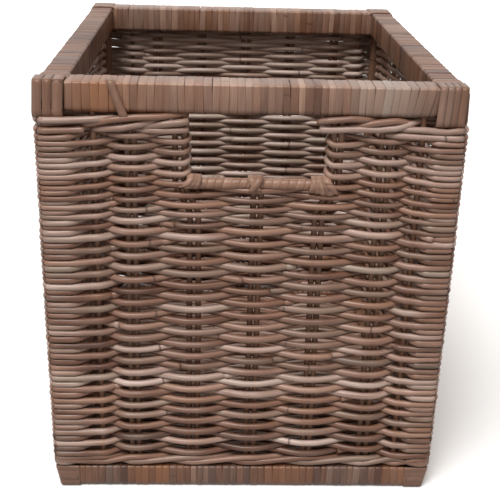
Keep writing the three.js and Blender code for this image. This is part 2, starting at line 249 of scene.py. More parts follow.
def skin_over(rings, grain, tone, warmth):
    """A closed skin over rings[n, k, 3]: four-sided faces from ring to ring and one face over each end,
    turned outwards by the sign of the volume, the sum of the triple products of the faces' triangles."""
    count, around = rings.shape[:2]
    points = rings.reshape(-1, 3)
    start = (np.arange(count - 1) * around)[:, None]
    side = np.arange(around)
    after = (side + 1) % around
    quads = np.stack([start + side, start + after, start + around + after, start + around + side], -1)
    quads = quads.reshape(-1, 4)
    caps = np.stack([side[::-1], (count - 1) * around + side])
    middle = points.mean(0)
    a, b, c, d = (points[quads[:, corner]] - middle for corner in range(4))
    volume = np.einsum("ij,ij->", a, np.cross(b, c)) + np.einsum("ij,ij->", a, np.cross(c, d))
    if volume < 0:
        quads, caps = quads[:, ::-1], caps[:, ::-1]
    return {
        "points": points, "corners": np.concatenate([quads.ravel(), caps.ravel()]),
        "sizes": np.concatenate([np.full(len(quads), 4), np.full(2, around)]),
        "round": np.concatenate([np.ones(len(quads), bool), np.zeros(2, bool)]),
        "grain": np.broadcast_to(grain, (count, around, 3)).reshape(-1, 3) * mm,
        "tone": np.broadcast_to(np.reshape(tone, (-1, 1)), (count, around)).ravel(),
        "warmth": np.broadcast_to(np.reshape(warmth, (-1, 1)), (count, around)).ravel(),
    }


def add_piece(name, skins, slot, *stands_for):
    """One object out of many skins, put into the mesh as whole arrays, with its three point attributes."""
    first = np.cumsum([0] + [len(skin["points"]) for skin in skins[:-1]])
    corners = np.concatenate([skin["corners"] + start for skin, start in zip(skins, first)])
    whole = {key: np.concatenate([skin[key] for skin in skins]) for key in skins[0]}
    points, sizes = whole["points"] * mm, whole["sizes"]
    mesh = bpy.data.meshes.new(name)
    mesh.vertices.add(len(points))
    mesh.loops.add(len(corners))
    mesh.polygons.add(len(sizes))
    mesh.vertices.foreach_set("co", points.astype(np.float32).ravel())
    mesh.loops.foreach_set("vertex_index", corners.astype(np.int32))
    mesh.polygons.foreach_set("loop_start", (np.cumsum(sizes) - sizes).astype(np.int32))
    mesh.update(calc_edges=True)
    mesh.polygons.foreach_set("use_smooth", whole["round"])
    for key, kind, field in (("grain", "FLOAT_VECTOR", "vector"), ("tone", "FLOAT", "value"),
                             ("warmth", "FLOAT", "value")):
        values = whole[key].astype(np.float32).ravel()
        mesh.attributes.new(key, kind, "POINT").data.foreach_set(field, values)
    mesh.materials.append(finishes[slot])
    piece = placed(name, mesh)
    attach(piece, "root")
    if stands_for:
        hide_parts(*stands_for)


basket_width, basket_depth, basket_height = 320.0, 390.0, 350.0
walls = {name: {"length": length, "reach": across / 2, "turn": turn} for name, length, across, turn in (
    ("front", basket_width, basket_depth, 0.0), ("right", basket_depth, basket_width, np.pi / 2),
    ("back", basket_width, basket_depth, np.pi), ("left", basket_depth, basket_width, -np.pi / 2))}
end_walls = ("front", "back")


def in_space(x, y, z):
    """Points from their three values, single ones repeated."""
    return np.stack(np.broadcast_arrays(x, y, z), -1)


def on_wall(wall, along, depth, height):
    """A place on a wall, from its outer face inwards, as x, y, z: the wall lies along x at the front and
    is turned about the upright axis to its own side."""
    cos, sin = np.cos(wall["turn"]), np.sin(wall["turn"])
    return in_space(along * cos - depth * sin + wall["reach"] * sin,
                    along * sin + depth * cos - wall["reach"] * cos, height)


def towards(wall, along, depth, height):
    """A direction given in a wall's own terms, as x, y, z."""
    return on_wall(wall, along, depth, height) - on_wall(wall, 0.0, 0.0, 0.0)


def unit(vectors):
    """Each vector over its own length."""
    return vectors / np.linalg.norm(vectors, axis=1)[:, None]


def bell(value, middle, width):
    """e to minus the square of the distance from the middle over the width."""
    return np.exp(-((value - middle) / width) ** 2)


def run_length(path):
    """How far along a path each of its points lies: the running sum of its steps."""
    return np.concatenate([[0], np.cumsum(np.linalg.norm(np.diff(path, axis=0), axis=1))])


def rounded_loop(corners, radius, steps):
    """A closed outline whose corners are rounded: an arc of some steps about each corner's own centre,
    which lies where the two edges, moved in by its radius, meet. Gives its points and outward normals."""
    corners = np.array(corners, float)
    radius = np.broadcast_to(radius, len(corners))[:, None]
    before = corners - np.roll(corners, 1, 0)
    after = np.roll(corners, -1, 0) - corners
    out_before = unit(np.stack([-before[:, 1], before[:, 0]], 1))
    out_after = unit(np.stack([-after[:, 1], after[:, 0]], 1))
    mitre = (out_before + out_after) / (1 + (out_before * out_after).sum(1))[:, None]
    share = np.linspace(0, 1, steps)[None, :, None]
    turn = np.arctan2(out_before[:, 1], out_before[:, 0])
    sweep = np.arctan2(out_after[:, 1], out_after[:, 0]) - turn
    sweep = (sweep + np.pi) % (2 * np.pi) - np.pi
    angle = turn[:, None, None] + sweep[:, None, None] * share
    normals = np.concatenate([np.cos(angle), np.sin(angle)], 2)
    points = (corners - mitre * radius)[:, None, :] + normals * radius[:, None]
    return points.reshape(-1, 2), normals.reshape(-1, 2)


peel_thickness = 1.5
peel_across = np.array([-0.5, -0.5, -0.36, 0.0, 0.36, 0.5, 0.5])
peel_lift = np.array([0.0, 0.80, 0.95, 1.0, 0.95, 0.80, 0.0])


def peel_strip(path, outward, sideways, width, tone, warmth, along, thickness=peel_thickness):
    """A domed flat strip along a path on its upper face: each ring is the path, plus the sideways
    direction by the strip's profile across, minus the outward direction by what the profile lacks."""
    width = np.reshape(width, (-1, 1))
    across = width * peel_across
    sink = (peel_lift - 1) * thickness
    rings = path[:, None] + across[..., None] * sideways[..., None, :] + sink[:, None] * outward[:, None]
    return skin_over(rings, in_space(np.reshape(along, (-1, 1)), across, sink), tone, warmth)


def wind_rail(level, wall_name, outline, places, widths, skews, tones, warmths, wear_and_painted_light=0.0):
    """Winds one unbroken strip round a rail. Every turn runs the outline once at its own place and skew,
    lies a little prouder or lower than the rest, and steps to the next place on the last stretch. The
    rail's upper outer edge is paler, partly by wear and partly as a painted highlight, and its outer foot
    is darker by painted shade, each by a bell of the height."""
    lowest, proudest = -0.25, 0.15
    edge_drop, edge_reach, foot_shade_reach = 0.6, 1.0, 4.0
    wall, (loop, normals) = walls[wall_name], outline
    turns, around = len(places), len(loop)
    foot, head = loop[:, 1].min(), loop[:, 1].max()
    along = places[:, None] + skews[:, None] * ((loop[:, 1] - foot) / (head - foot) - 0.5)
    proud = draw.uniform(lowest, proudest, turns)[:, None]
    depth = loop[:, 0] + proud * normals[:, 0]
    height = loop[:, 1] + proud * normals[:, 1]
    path = on_wall(wall, along, depth, height).reshape(-1, 3)
    # A paler band at the upper outer edge, partly wear and partly a painted highlight, and a darker band at
    # the outer foot, which is painted shade.
    edge = bell(loop[:, 1], head - edge_drop, edge_reach) * (loop[:, 0] < 3)
    painted_foot_shade = bell(loop[:, 1], foot, foot_shade_reach) * (loop[:, 0] < 5)
    shares = draw.uniform(0.5, 1.2, (2, turns, 1))
    tones = (tones[:, None] + wear_and_painted_light * (shares[0] * edge - shares[1] * painted_foot_shade)).ravel()
    outward = np.tile(towards(wall, 0.0, normals[:, 0], normals[:, 1]), (turns, 1))
    sideways = towards(wall, 1.0, 0.0, 0.0)
    winding = peel_strip(path, outward, sideways, np.repeat(widths, around), tones,
                         np.repeat(warmths, around), run_length(path) + draw.uniform(0, 400))
    add_piece(f"{level}_rail_winding_{wall_name}", [winding], "rattan_peel", f"{level}_rail_wrap_{wall_name}")


def turn_places(low, high):
    """Places and widths of the turns between two ends: uneven pitches, scaled to fill the length, and
    strips that overlap a little, less a small gap by chance."""
    pitch, unevenness, overlap, usual_gap, widest_gap = 5.9, 0.13, 1.05, 0.12, 0.8
    count = int(round((high - low) / pitch))
    pitches = pitch * (1 + unevenness * draw.standard_normal(count).clip(-1.6, 1.6))
    pitches *= (high - low) / pitches.sum()
    places = low + np.cumsum(pitches) - pitches / 2
    return places, pitches * overlap - draw.exponential(usual_gap, count).clip(0, widest_gap)


def drifting(count, spread, drift):
    """Random tones that wander from turn to turn: a mean of five neighbours times the drift, plus a jump
    by the spread."""
    slow = np.convolve(draw.standard_normal(count + 8), np.ones(5) / 5, "same")[4:4 + count]
    return drift * slow + spread * draw.standard_normal(count)


top_rail_width, side_rail_width, top_rail_height = 27.0, 21.2, 24.0
rail_foot = basket_height - top_rail_height
rail_top = basket_height + 0.4
bundle_width, side_end_gap = 20.5, 1.8
top_looks = {"front": (0.53, 0.0), "right": (0.22, 0.22), "back": (0.5, 0.0), "left": (0.12, 0.18)}
for wall_name, wall in walls.items():
    inner = top_rail_width if wall_name in end_walls else side_rail_width
    corners = [(0, rail_foot + 1.0), (0, rail_top), (inner, rail_top), (inner, rail_foot)]
    outline = rounded_loop(corners, (5.0, 1.9, 2.2, 3.0), 5)
    low = high = wall["length"] / 2 - (bundle_width if wall_name in end_walls else top_rail_width)
    low -= side_end_gap * (wall_name == "right")
    high -= side_end_gap * (wall_name == "left")
    places, widths = turn_places(-low, high)
    tone, warmth = top_looks[wall_name]
    tones = tone + drifting(len(places), 0.15, 0.16)
    warmths = warmth + drifting(len(places), 0.14, 0.30)
    skews = draw.normal(0, 0.45, len(places))
    if wall_name == "front":
        pale = bell(places, 81, 2.6) + bell(places, 99, 3.0)
        tones += 0.32 * pale - 0.12 * bell(places, -125, 16) - 0.05 * (places > 60)
        warmths = 0.6 * warmths + 0.66 * bell(places, -112, 27) - 0.4 * bell(places, 108, 30) - 0.4 * pale
        skews += 4.2 * np.clip((places - 72) / 55, 0, 1)
    # The end rails carry more of the pale edge, partly wear and partly painted highlight, and of the painted
    # shade at the foot.
    wear_and_painted_light = 0.4 if wall_name in end_walls else 0.08
    wind_rail("top", wall_name, outline, places, widths, skews, tones, warmths, wear_and_painted_light)


# ---- Corner bindings of the rim
# Where two top rails meet, three or four strips run over the front or back edge and tuck in behind the
# highest strand, and four more lie over the edge of the side rail. A loose one leans across the front rail.
def follow(stops, steps, soft=13):
    """A path through stops, rounded by a bell-shaped average that is wider the softer it is, in even steps
    of its length."""
    stops = np.array(stops, float)
    leg = run_length(stops)
    fine = np.linspace(0, leg[-1], steps * 8)
    path = np.stack([np.interp(fine, leg, column) for column in stops.T], -1)
    window = np.hanning(soft)[1:-1]
    padded = np.pad(path, ((soft // 2 - 1, soft // 2 - 1), (0, 0)), mode="reflect", reflect_type="odd")
    smooth = np.stack([np.convolve(column, window / window.sum(), "valid") for column in padded.T], -1)
    return smooth[np.linspace(0, len(smooth) - 1, steps).round().astype(int)]


def strap_on_wall(wall, stops, width, tone, warmth, steps=26, soft=13, start=(0.0, 0.0, basket_height)):
    """A strip through stops of place along the wall, depth and height, counted from a start. Its outward
    side is square to its run and to the wall's own direction."""
    path = follow(np.array(stops) + start, steps, soft)
    run = np.gradient(path, axis=0)
    outward = unit(in_space(0.0, -run[:, 2], run[:, 1]))
    sideways = towards(wall, 1.0, 0.0, 0.0)
    length = np.linspace(0, np.abs(run).sum(), steps) + draw.uniform(0, 400)
    return peel_strip(on_wall(wall, *path.T), towards(wall, 0.0, outward[:, 1], outward[:, 2]), sideways,
                      width, tone, warmth, length)


strap_lean, strap_overlap, under = 1.2, 1.08, -top_rail_height
side_strap_inset, side_strap_gap, cover_inset, cover_width = 12.2, 0.15, 5.9, 11.0
for wall_name, wall in walls.items():
    straps = []
    half = wall["length"] / 2
    for side in (-1, 1):
        if wall_name in end_walls:
            low, bulge, strap_widths = (-25.0, 0.0, (7.2, 7.0, 7.8)) if side < 0 else \
                (-27.4, 0.8, (5.4, 5.1, 5.2, 5.3))
            edge = half + (1.9 if (wall_name, side) == ("front", -1) else -0.6)
            top = 0.5 if wall_name == "front" else -0.3
            for strap_width in strap_widths:
                centre = side * (edge - strap_width / 2)
                foot = centre - strap_lean
                straps.append(strap_on_wall(wall, [
                    (centre, 17.5, top - 1.3), (centre, 15.0, top), (centre, 0.1, top),
                    (centre, -0.5, top - 0.9), ((centre + foot) / 2, -0.6, under / 2),
                    (foot, -0.6 - bulge, low + 3), (foot, 0.2 - bulge, low), (foot, 3.0, low - 1),
                ], strap_width * strap_overlap, 0.40 + draw.normal(0, 0.09), draw.normal(0.0, 0.12), 48, 9))
                edge -= strap_width
        else:
            edge = half - side_strap_inset
            for strap_width in (5.3, 4.9, 5.0):
                centre = side * (edge - strap_width / 2)
                straps.append(strap_on_wall(wall, [
                    (centre, 22.0, -1.6), (centre, 20.0, 0.0), (centre, 1.6, 0.2), (centre, -0.2, -1.8),
                    (centre, -0.2, under + 3), (centre, 1.0, under + 0.6), (centre, 6.0, under - 0.2),
                ], strap_width, 0.52 + draw.normal(0, 0.08), draw.normal(0.0, 0.15)))
                edge -= strap_width + side_strap_gap
            at_front = (side < 0) == (wall_name == "right")
            inward = {"right": 0.6, "left": -0.9}[wall_name] * at_front
            centre = side * (half - cover_inset)
            straps.append(strap_on_wall(wall, [
                (centre, 20.0, -1.4), (centre, 3 + inward, -1.0), (centre, 0.2 + inward, -2.6),
                (centre, -0.4 + inward, under - 2), (centre, 3 + inward, under - 4.4),
            ], cover_width, 0.42, 0.0))
    if wall_name == "front":
        straps.append(strap_on_wall(wall, [
            (-106.5, 8, 0.7), (-105.5, 0.4, 0.7), (-104.5, -0.7, -1), (-99.5, -0.7, -15),
            (-96.0, -0.7, under), (-95.5, 1.5, under - 3.0),
        ], 6.4, 0.42, 0.15, 40, 9))
    add_piece(f"rim_binding_{wall_name}", straps, "rattan_peel")


# ---- Bottom rail winding
# The same flat strips round the bottom rails, 47 to 59 turns to a rail. The outer foot of these rails is cut
# away, and the turns step on to the next above the rail, under the weaving.
bottom_rail_width, bottom_rail_height, foot_lift = 22.0, 19.0, 0.2
block_width = 20.0
for wall_name, wall in walls.items():
    cut_in, cut_up = (1.2, 4) if wall_name in end_walls else (4.0, 11)
    corners = [(bottom_rail_width, bottom_rail_height), (bottom_rail_width, foot_lift), (cut_in, foot_lift),
               (0, cut_up), (0, bottom_rail_height)]
    outline = rounded_loop(corners, (2.2, 2.2, 1.0, 2.0, 2.2), 4)
    end = wall["length"] / 2 - block_width
    places, widths = turn_places(-end, end)
    tones = 0.10 + drifting(len(places), 0.13, 0.16)
    warmths = 0.20 + drifting(len(places), 0.12, 0.34)
    skews = draw.normal(0, 0.4, len(places))
    wind_rail("bottom", wall_name, outline, places, widths, skews, tones, warmths)


# ---- Corner bindings of the foot
# Each foot corner is bound with four strips laid round it on the level, one above the other, from the end
# of one rail's winding to the end of the next. The sides of the foot draw in towards the ground.
band_levels, band_width, band_steps, foot_flare = (2.8, 7.5, 12.1, 16.6), 5.2, 30, 24.0
half_width, half_depth = basket_width / 2, basket_depth / 2
for corner_name, x_side, y_side, side_slope in (("front_left", -1, -1, 0.20), ("front_right", 1, -1, 0.21),
                                                ("back_right", 1, 1, 0.21), ("back_left", -1, 1, 0.20)):
    bands = []
    for level in band_levels:
        side_place = half_width - side_slope * (foot_flare - level) + 0.9
        stops = np.array([
            (half_width - block_width - 0.5, half_depth + 0.4), (side_place - 1.4, half_depth + 0.4),
            (side_place, half_depth - 1), (side_place, half_depth - block_width),
        ]) * (x_side, y_side)
        path = follow(in_space(*stops.T, level), band_steps)
        run = np.gradient(path, axis=0)
        outward = unit(in_space(run[:, 1], -run[:, 0], 0.0))
        outward *= np.sign((outward * path).sum(1))[:, None]
        upward = unit(np.array([0.0, 0.0, 1.0]) + side_slope * np.abs(outward[:, :1]) * outward)
        bands.append(peel_strip(path, outward, upward, band_width, 0.34 + draw.normal(0, 0.05), 0.0,
                                np.linspace(0, 45, band_steps) + 50 * level))
    add_piece(f"foot_binding_{corner_name}", bands, "rattan_peel")


# ---- Stakes
# Upright round rods of rattan core between the bottom and top rails, two side by side every 48 mm and a
# single one near each corner. Beside the hand hole the pairs lean outwards, and one ends under the bar.
finishes["rattan_rod"] = rattan(
    "rattan_rod_core",
    [(0.0, (66, 38, 24)), (0.4, (112, 81, 64)), (0.7, (142, 109, 90)), (1.0, (168, 136, 115))],
    silver=(134, 116, 98), orange=(132, 88, 58), streak=0.5, gloss=(0.45, 0.65), ring_every=0.085,
    ring_colour=(60, 38, 28))


def round_rod(path, radius, sides, reference, tone, warmth, along=0.0, trim=0):
    """A round skin along a path. Each ring lies square to the run, the path's central difference, on two
    directions made from it and a reference by cross products. Trimmed rings only give the ends their
    true direction."""
    run = unit(np.gradient(path, axis=0))
    first = unit(np.cross(run, reference))
    second = np.cross(first, run)
    angle = np.linspace(0, 2 * np.pi, sides, endpoint=False)
    cos, sin = np.cos(angle), np.sin(angle)
    spread = cos[:, None] * first[:, None] + sin[:, None] * second[:, None]
    radius = np.broadcast_to(radius, len(path))[:, None]
    rings = path[:, None] + radius[..., None] * spread
    length = (run_length(path) + along)[:, None]
    grain = in_space(length, radius * cos, radius * sin)
    kept = slice(trim, len(path) - trim)
    return skin_over(rings[kept], grain[kept], np.broadcast_to(tone, len(path))[kept],
                     np.broadcast_to(warmth, len(path))[kept])


rod_radius, rod_sides, rod_stations = 2.4, 12, 46
wall_middle = 7.4
bend_low, bend_high = 248.1, 270.1


def stake_place(stake, height):
    """A stake's place along its wall at a height: it goes evenly from its foot's to its head's place
    between the two heights of the bend beside the hand hole."""
    share = np.clip((height - bend_low) / (bend_high - bend_low), 0, 1)
    return stake["foot"] + (stake["head"] - stake["foot"]) * share


for wall_name, wall in walls.items():
    wall["stakes"] = []
    along_wall = towards(wall, 1.0, 0.0, 0.0)
    stake_names = [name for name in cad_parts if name.startswith(f"stake_{wall_name}_")]
    for stake_name in stake_names:
        spots = np.array([vertex.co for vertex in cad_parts[stake_name].data.vertices]) / mm
        along = spots @ along_wall
        low, high = spots[:, 2].min(), spots[:, 2].max()
        foot = along[spots[:, 2] < low + 0.5]
        head = along[spots[:, 2] > high - 0.5]
        wall["stakes"].append({
            "foot": (foot.min() + foot.max()) / 2, "head": (head.min() + head.max()) / 2,
            "low": low, "high": high, "paired": "pair" in stake_name,
        })
    wall["stakes"].sort(key=lambda stake: stake["foot"])
    rods = []
    for stake in wall["stakes"]:
        height = np.linspace(stake["low"], stake["high"], rod_stations)
        apart = draw.uniform(2.5, 3.3)
        for offset in ((-apart, apart) if stake["paired"] else (0.0,)):
            sway = np.interp(height, np.linspace(11, 334, 8), draw.normal(0, 0.18, 8))
            path = on_wall(wall, stake_place(stake, height) + offset + sway, wall_middle + 0.5 * sway, height)
            rods.append(round_rod(path, rod_radius, rod_sides, (1.0, 0.3, 0.0), draw.normal(0.5, 0.13),
                                  draw.normal(0.05, 0.18), draw.uniform(0, 900)))
    add_piece(f"stakes_{wall_name}", rods, "rattan_rod", *stake_names)


# ---- Corner posts
# A round rattan pole in each corner, a little thicker at the plant's joints, with its foot and head in the
# rails and every strand laid round its outside.
post_radius, post_sides, post_stations = 6.5, 24, 60
joint_every, joint_width, joint_swell = 96, 3, 0.25


def node_box(name):
    """A CAD node's lowest and highest corners and their middle, in millimetres."""
    low, high = np.array([list(corner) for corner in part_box(name)]) / mm
    return low, high, (low + high) / 2


for post_name in [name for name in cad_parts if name.startswith("corner_post_")]:
    low, high, middle = node_box(post_name)
    height = np.linspace(low[2], high[2], post_stations)
    path = in_space(middle[0], middle[1], height)
    joint = joint_swell * (bell(height % joint_every, joint_every / 2, joint_width) - 1)
    post = round_rod(path, post_radius + joint, post_sides, (1.0, 0.0, 0.0), 0.45, 0.1, draw.uniform(0, 900))
    add_piece(post_name.replace("corner_", ""), [post], "rattan_rod", post_name)


# ---- Woven walls
# Round rattan strands, 4 to 6 mm thick, go over one stake and under the next all the way round, and each
# next row does the opposite. Every row passes outside the corner posts. Thinner strands lie near the top.
finishes["rattan_strand"] = rattan(
    "rattan_strand_core",
    [(0.0, (64, 31, 17)), (0.3, (107, 72, 54)), (0.6, (141, 110, 95)), (1.0, (197, 174, 163))],
    silver=(150, 133, 118), orange=(152, 113, 91), streak=0.6, gloss=(0.26, 0.46), ring_every=0.31,
    ring_colour=(70, 46, 35))

upright = (0.0, 0.0, 1.0)
swing = 4.6
strand_sides = 10
turn_inset, corner_arc = 6.0, 4.75
stake_count, perimeter = 0, 0.0
for wall in walls.values():
    wall["first"] = stake_count
    stake_count += len(wall["stakes"])
    wall["straight"] = wall["length"] / 2 - turn_inset
    wall["half"] = wall["straight"] + corner_arc * np.pi / 4
    wall["start"] = perimeter
    perimeter += 2 * wall["half"]


def gentle(value):
    """Rises from 0 to 1 as 0.6 of a straight line and 0.4 of half a cosine wave."""
    value = np.clip(value, 0, 1)
    return 0.6 * value + 0.4 * (1 - np.cos(np.pi * value)) / 2


def keyed(run, keys, holds, values):
    """A course that keeps each key's value for that key's hold on either side of it, and goes over gently
    between two keys: the first value plus the sum of all the rises passed."""
    course = np.full(np.shape(run), values[0], float)
    for key in range(len(keys) - 1):
        rise_from, rise_to = keys[key] + holds[key], keys[key + 1] - holds[key + 1]
        course += (values[key + 1] - values[key]) * gentle((run - rise_from) / (rise_to - rise_from))
    return course


def round_corner(wall, run, depth, height):
    """A place given by its run along a wall, as a point in space: on the straight part as it is, and past
    it on an arc round the corner, which keeps the distance to the arc's middle."""
    straight = wall["straight"]
    angle = np.clip(np.abs(run) - straight, 0, None) / corner_arc
    away = turn_inset - depth
    along = np.sign(run) * (np.minimum(np.abs(run), straight) + away * np.sin(angle))
    return on_wall(wall, along, turn_inset - away * np.cos(angle), height)


def packed_rows(low, high, thickness, spread):
    """Rows pressed on each other between two heights: even borders between them, moved a little by
    chance, give each row its middle height and its radius."""
    squeeze = 1.08
    count = int(round((high - low) / thickness))
    borders = np.linspace(low, high, count + 1)
    borders[1:-1] += spread * draw.standard_normal(count - 1).clip(-1.8, 1.8)
    return (borders[1:] + borders[:-1]) / 2, np.diff(borders) / 2 * squeeze


lower_rows, lower_radii = packed_rows(30.0, 237.1, 5.18, 0.28)
upper_rows, upper_radii = packed_rows(237.1, 312.9, 4.21, 0.20)
top_rows, top_radius = np.array([315.1, 319.4, 323.8]), 2.45
row_heights = np.concatenate([lower_rows, upper_rows, top_rows])
row_radii = np.concatenate([lower_radii, upper_radii, np.full(len(top_rows), top_radius)])
rows = len(row_heights)
corner_drift = draw.normal(0, 0.35, (rows, 4))
stake_drift = draw.normal(0, 0.35, (rows, stake_count))
row_tones = 0.45 + draw.normal(0, 0.14, rows) + 0.09 * (row_heights > 250)
row_warmths = draw.normal(0, 0.18, rows)
grain_apart = 517.0
corner_hold, pair_hold, back_pair_hold, single_hold = 15.0, 6.0, 2.0, 1.5
corner_rest, pair_rest, single_rest = 5.0, 2.0, 0.0
sag_height, sag_reach, least_sag = 270, 40, 0.30
outside_dip, back_dip, inside_lift = 1.2, 0.4, 0.3
corner_sag = (4.3, 5.4, 1.2, 1.4)
top_lays = ({0: (313.4, 0.0), 1: (312.9, 0.0)}, {0: (317.3, 4.0), 1: (318.8, 0.0)},
            {0: (321.3, 0.0), 1: (323.0, 5.0)})


def corner_depth(height):
    """How far a strand's middle lies behind the wall's outer plane where it rounds a corner: the walls
    lean out a little, so this falls evenly with height."""
    at_foot, lean_out, lean_from, lean_over = 1.25, 2.9, 35, 280
    return at_foot - lean_out * np.clip((height - lean_from) / lean_over, 0, 1)


def between_posts(wall, corner, paired, single):
    """A value at each key of a row: one for the corners, one for each pair of rods, one for a single."""
    return [corner] + [paired if stake["paired"] else single for stake in wall["stakes"]] + [corner]


def row_keys(wall_name, row):
    """Keys of one row on one wall: the corner post, each stake and the next corner post. The row sags
    towards the corners, most of all near the height of the hand hole, and the top rows lie at the front
    corners as the head band does."""
    wall = walls[wall_name]
    order = list(walls).index(wall_name)
    next_corner = (order + 1) % 4
    height = row_heights[row]
    keys = [-wall["straight"]] + [stake_place(stake, height) for stake in wall["stakes"]] + [wall["straight"]]
    paired_hold = back_pair_hold if wall_name == "back" else pair_hold
    holds = between_posts(wall, corner_hold, paired_hold, single_hold)
    rests = between_posts(wall, corner_rest, pair_rest, single_rest)
    level = least_sag + (1 - least_sag) * bell(height, sag_height, sag_reach)
    near_sag, far_sag = corner_sag[order] * level, corner_sag[next_corner] * level
    depths, heights = [corner_depth(height)], [height + corner_drift[row, order] - near_sag]
    dip = outside_dip + back_dip * (wall_name == "back")
    for index in range(wall["first"], wall["first"] + len(wall["stakes"])):
        outside = (index + row) % 2 == 0
        depths.append(wall_middle + (-swing if outside else swing))
        heights.append(height + stake_drift[row, index] - (dip if outside else -inside_lift))
    for index, share in ((1, 0.5), (2, 0.2)):
        heights[index] -= share * near_sag
        heights[-index] -= (share + 0.15) * far_sag
    heights.append(height + corner_drift[row, next_corner] - far_sag)
    depths.append(corner_depth(height))
    if row >= rows - len(top_rows):
        lays = top_lays[row - rows + len(top_rows)]
        for place, corner in ((0, order), (-1, next_corner)):
            heights[place], deeper = lays.get(corner, (height, 0.0))
            depths[place] = corner_depth(height) + deeper
    return keys, holds, rests, depths, heights


def stations(low, high, spacing=3.4):
    """Even stations between two places."""
    return np.linspace(low, high, max(3, int(round((high - low) / spacing)) + 1))


def strand_tube(path, radius, tone, warmth, along):
    """A strand along a path, less its end rings."""
    return round_rod(path, radius, strand_sides, upright, tone, warmth, along, 1)


def depth_and_height(run, keys):
    """Depth and height along a row, from the holds and the values at its keys."""
    places, holds, rests, depths, heights = keys
    return keyed(run, places, holds, depths), keyed(run, places, rests, heights)


def lay_strand(wall, run, keys, radius, tone, warmth, along):
    """One strand of a wall over its stations, whose tone and warmth wander from stake to stake."""
    tones, warmths = (start + np.interp(run, keys[0], draw.normal(0, spread, len(keys[0])))
                      for start, spread in ((tone - 0.0004 * run, 0.15), (warmth, 0.20)))
    return strand_tube(round_corner(wall, run, *depth_and_height(run, keys)), radius, tones, warmths, along)


def spliced_strand(wall, run, keys, radius, tone, warmth, along):
    """A strand of a wall, about half the time pieced from two: the old one ends blunt beside a stake, and
    the new one starts under it and comes up to its course past that end."""
    splice_chance, under_depth, past_end, come_up = 0.55, 2.4, 7, 9
    if draw.random() > splice_chance:
        return [lay_strand(wall, run, keys, radius, tone, warmth, along)]
    cut = draw.choice(keys[0][1:-1]) + draw.choice((-1, 1)) * draw.uniform(9, 17)
    old_run = np.concatenate([run[run < cut - 1.5], [cut, cut + 2.0]])
    new_run = np.concatenate([[cut - 14.0, cut - 12.0], run[run > cut - 10.5]])
    depth, height = depth_and_height(new_run, keys)
    share = np.clip((cut + past_end - new_run) / come_up, 0, 1)
    under = under_depth * share * np.sign(wall_middle - depth)
    path = round_corner(wall, new_run, depth + under, height)
    new = strand_tube(path, radius * draw.uniform(0.92, 1.06), tone + draw.normal(0, 0.14),
                      warmth + draw.normal(0, 0.25), along + 900.0)
    return [lay_strand(wall, old_run, keys, radius, tone, warmth, along), new]


def wall_stations(wall):
    """Stations from mitre to mitre, with one more beyond each, closer together on the corner arcs."""
    arc = np.linspace(wall["straight"], wall["half"], 4)
    step = arc[1] - arc[0]
    inner = stations(-wall["straight"], wall["straight"])[1:-1]
    return np.concatenate([[-wall["half"] - step], -arc[::-1], inner, arc, [wall["half"] + step]])


left_pair, middle_pair, right_pair = 3, 4, 5


def hairpin(wall, row, side):
    """A strand beside the hand hole: it comes from the corner on the even row of two, goes over the
    leaning pair, round its rod beside the hole on half a circle, and back behind the pair on the odd row."""
    rod_offset = 2.55
    pair = left_pair if side < 0 else right_pair
    legs = []
    for leg_row in sorted((row, row + 1), key=lambda number: number % 2):
        keys = row_keys("front", leg_row)
        if not legs:
            turn_at = keys[0][pair] - side * rod_offset
            full = wall_stations(wall)
            run = full[full < turn_at - 1.5] if side < 0 else full[full > turn_at + 1.5][::-1]
            run = np.append(run, turn_at)
        for values in keys[3:]:
            values[middle_pair] = values[pair]
        legs.append(depth_and_height(run, keys))
    (out_depth, out_height), (back_depth, back_height) = legs
    bend = np.linspace(0, np.pi, 9)[1:-1]
    rise = gentle(bend / np.pi)
    depth = np.concatenate([out_depth, wall_middle - swing * np.cos(bend), back_depth[::-1]])
    height = np.concatenate([out_height, out_height[-1] * (1 - rise) + back_height[-1] * rise,
                             back_height[::-1]])
    reach = np.concatenate([run, turn_at - side * swing * np.sin(bend), run[::-1]])
    start = wall["start"] + wall["half"] + run[0]
    return strand_tube(round_corner(wall, reach, depth, height), row_radii[row], row_tones[row],
                       row_warmths[row], start + row * grain_apart)


def short_of_hole(wall, keys, *look):
    """The two parts of a strand that ends behind the leaning pairs beside the hand hole."""
    full = wall_stations(wall)
    left_end, right_end = keys[0][left_pair] + 4, keys[0][right_pair] - 4
    runs = np.append(full[full < left_end - 1], left_end), np.append(right_end, full[full > right_end + 1])
    return [lay_strand(wall, run, keys, *look) for run in runs]


hole_low = 269.0
for wall_name, wall in walls.items():
    strands = []
    row = 0
    fatter = 1.0 if wall_name == "front" else 1.10
    last_row = rows - len(top_rows) if wall_name == "front" else rows
    while row < last_row:
        beside_hole = wall_name == "front" and row_heights[row] > hole_low
        keys, tone, warmth = row_keys(wall_name, row), row_tones[row], row_warmths[row]
        if beside_hole and row + 1 == last_row:
            strands += short_of_hole(wall, keys, row_radii[row], tone, warmth, row * grain_apart)
        elif beside_hole:
            strands += [hairpin(wall, row, -1), hairpin(wall, row, 1)]
            row += 1
        else:
            if wall_name == "back":
                # Painted light: from 60 mm up, the back wall's strands grow paler and greyer to stand for
                # light falling on its inner face.
                painted_light_share = np.clip((row_heights[row] - 60) / 110, 0, 1)
                tone, warmth = tone + 0.36 * painted_light_share - 0.06, warmth - 0.35 * painted_light_share
            strands += spliced_strand(wall, wall_stations(wall), keys, row_radii[row] * fatter, tone, warmth,
                                      wall["start"] + row * grain_apart)
        row += 1
    add_piece(f"woven_wall_{wall_name}", strands, "rattan_strand", f"weave_{wall_name}")


